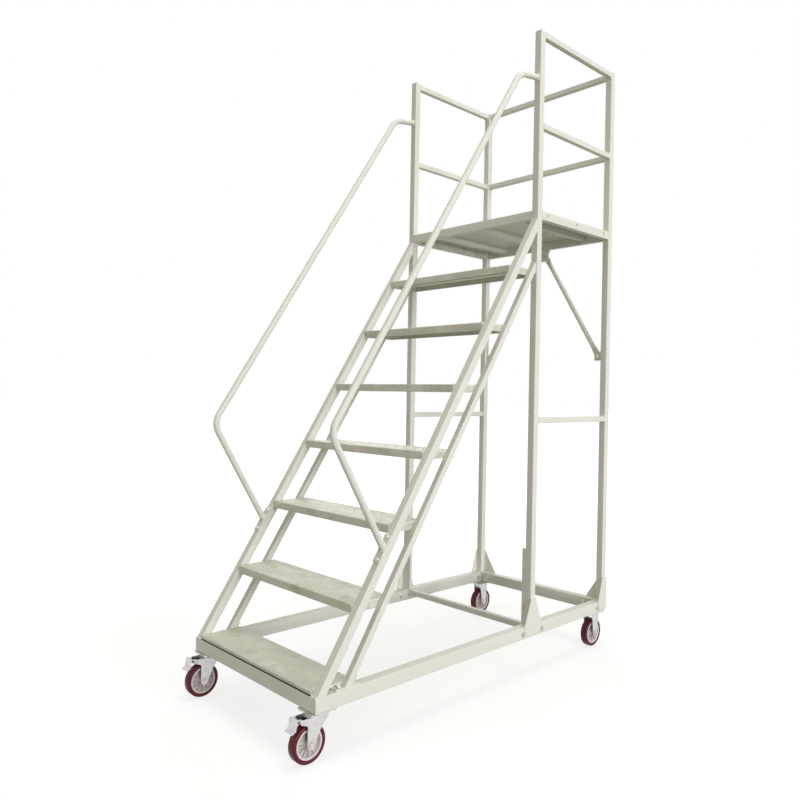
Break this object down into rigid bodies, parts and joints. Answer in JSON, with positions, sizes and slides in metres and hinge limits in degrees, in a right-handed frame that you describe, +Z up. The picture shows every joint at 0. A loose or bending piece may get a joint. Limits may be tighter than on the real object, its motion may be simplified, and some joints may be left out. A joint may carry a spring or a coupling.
{
  "type": "mobile platform ladder",
  "caption": "Mobile platform ladder: welded square-tube frame on casters, steep stair of pressed treads, railed work platform and bent handrails.",
  "frame": {"origin": "on the floor, under the middle of the ladder's overall box", "axes": "+Z up, +Y from the stair's foot towards the rear of the platform, +X to the right when looking along +Y up the stair"},
  "size_m": [0.8, 1.8188, 2.74],
  "materials": {
    "frame_paint": "semi-gloss ivory powder coat",
    "tread_paint": "ivory powder coat over pressed anti-slip pattern",
    "zinc_pressing": "bright zinc plate",
    "wheel_hub": "moulded, matt",
    "wheel_tyre": "polyurethane, satin burgundy"
  },
  "bodies": {
    "frame": {"base_front_beam": "frame_paint", "base_rear_beam": "frame_paint", "base_cross_tube": "frame_paint", "base_rail_right": "frame_paint", "base_rail_left": "frame_paint", "post_front_right": "frame_paint", "post_front_left": "frame_paint", "post_rear_right": "frame_paint", "post_rear_left": "frame_paint", "gussets_front": "frame_paint", "gussets_rear": "frame_paint", "foot_stiffeners": "frame_paint", "low_rails": "frame_paint", "deck_rim": "frame_paint", "deck_pan": "tread_paint", "deck_ribs": "frame_paint", "guard_top_rail_right": "frame_paint", "guard_top_rail_left": "frame_paint", "guard_top_rail_rear": "frame_paint", "guard_mid_rail_right": "frame_paint", "guard_mid_rail_left": "frame_paint", "guard_mid_rail_rear": "frame_paint", "brace_plate": "frame_paint", "knee_braces": "frame_paint", "brace_lugs": "frame_paint", "stringer_front_right": "frame_paint", "stringer_front_left": "frame_paint", "stringer_rear_right": "frame_paint", "stringer_rear_left": "frame_paint", "stringer_cleats": "frame_paint", "tread_1": "tread_paint", "tread_2": "tread_paint", "tread_3": "tread_paint", "tread_4": "tread_paint", "tread_5": "tread_paint", "tread_6": "tread_paint", "tread_7": "tread_paint", "handrail_right": "frame_paint", "handrail_left": "frame_paint", "caster_tops_front": "zinc_pressing", "caster_forks_rear": "zinc_pressing", "axles_rear": "zinc_pressing"},
    "front_swivel_right": {"caster_fork_front_right": "zinc_pressing", "brake_pedal_right": "zinc_pressing", "axle_front_right": "zinc_pressing"},
    "front_wheel_right": {"wheel_hub_front_right": "wheel_hub", "tyre_front_right": "wheel_tyre"},
    "rear_wheel_right": {"wheel_hub_rear_right": "wheel_hub", "tyre_rear_right": "wheel_tyre"},
    "front_swivel_left": {"caster_fork_front_left": "zinc_pressing", "brake_pedal_left": "zinc_pressing", "axle_front_left": "zinc_pressing"},
    "front_wheel_left": {"wheel_hub_front_left": "wheel_hub", "tyre_front_left": "wheel_tyre"},
    "rear_wheel_left": {"wheel_hub_rear_left": "wheel_hub", "tyre_rear_left": "wheel_tyre"}
  },
  "joints": [
    {"name": "front_swivel_right", "type": "hinge", "parent": "frame", "child": "front_swivel_right", "pos_m": [0.345, -0.7956, 0.15], "axis": [0, 0, 1], "continuous": true},
    {"name": "front_wheel_right", "type": "hinge", "parent": "front_swivel_right", "child": "front_wheel_right", "pos_m": [0.345, -0.8356, 0.065], "axis": [1, 0, 0], "continuous": true},
    {"name": "rear_wheel_right", "type": "hinge", "parent": "frame", "child": "rear_wheel_right", "pos_m": [0.345, 0.8444, 0.065], "axis": [1, 0, 0], "continuous": true},
    {"name": "front_swivel_left", "type": "hinge", "parent": "frame", "child": "front_swivel_left", "pos_m": [-0.345, -0.7956, 0.15], "axis": [0, 0, 1], "continuous": true},
    {"name": "front_wheel_left", "type": "hinge", "parent": "front_swivel_left", "child": "front_wheel_left", "pos_m": [-0.345, -0.8356, 0.065], "axis": [1, 0, 0], "continuous": true},
    {"name": "rear_wheel_left", "type": "hinge", "parent": "frame", "child": "rear_wheel_left", "pos_m": [-0.345, 0.8444, 0.065], "axis": [1, 0, 0], "continuous": true}
  ]
}
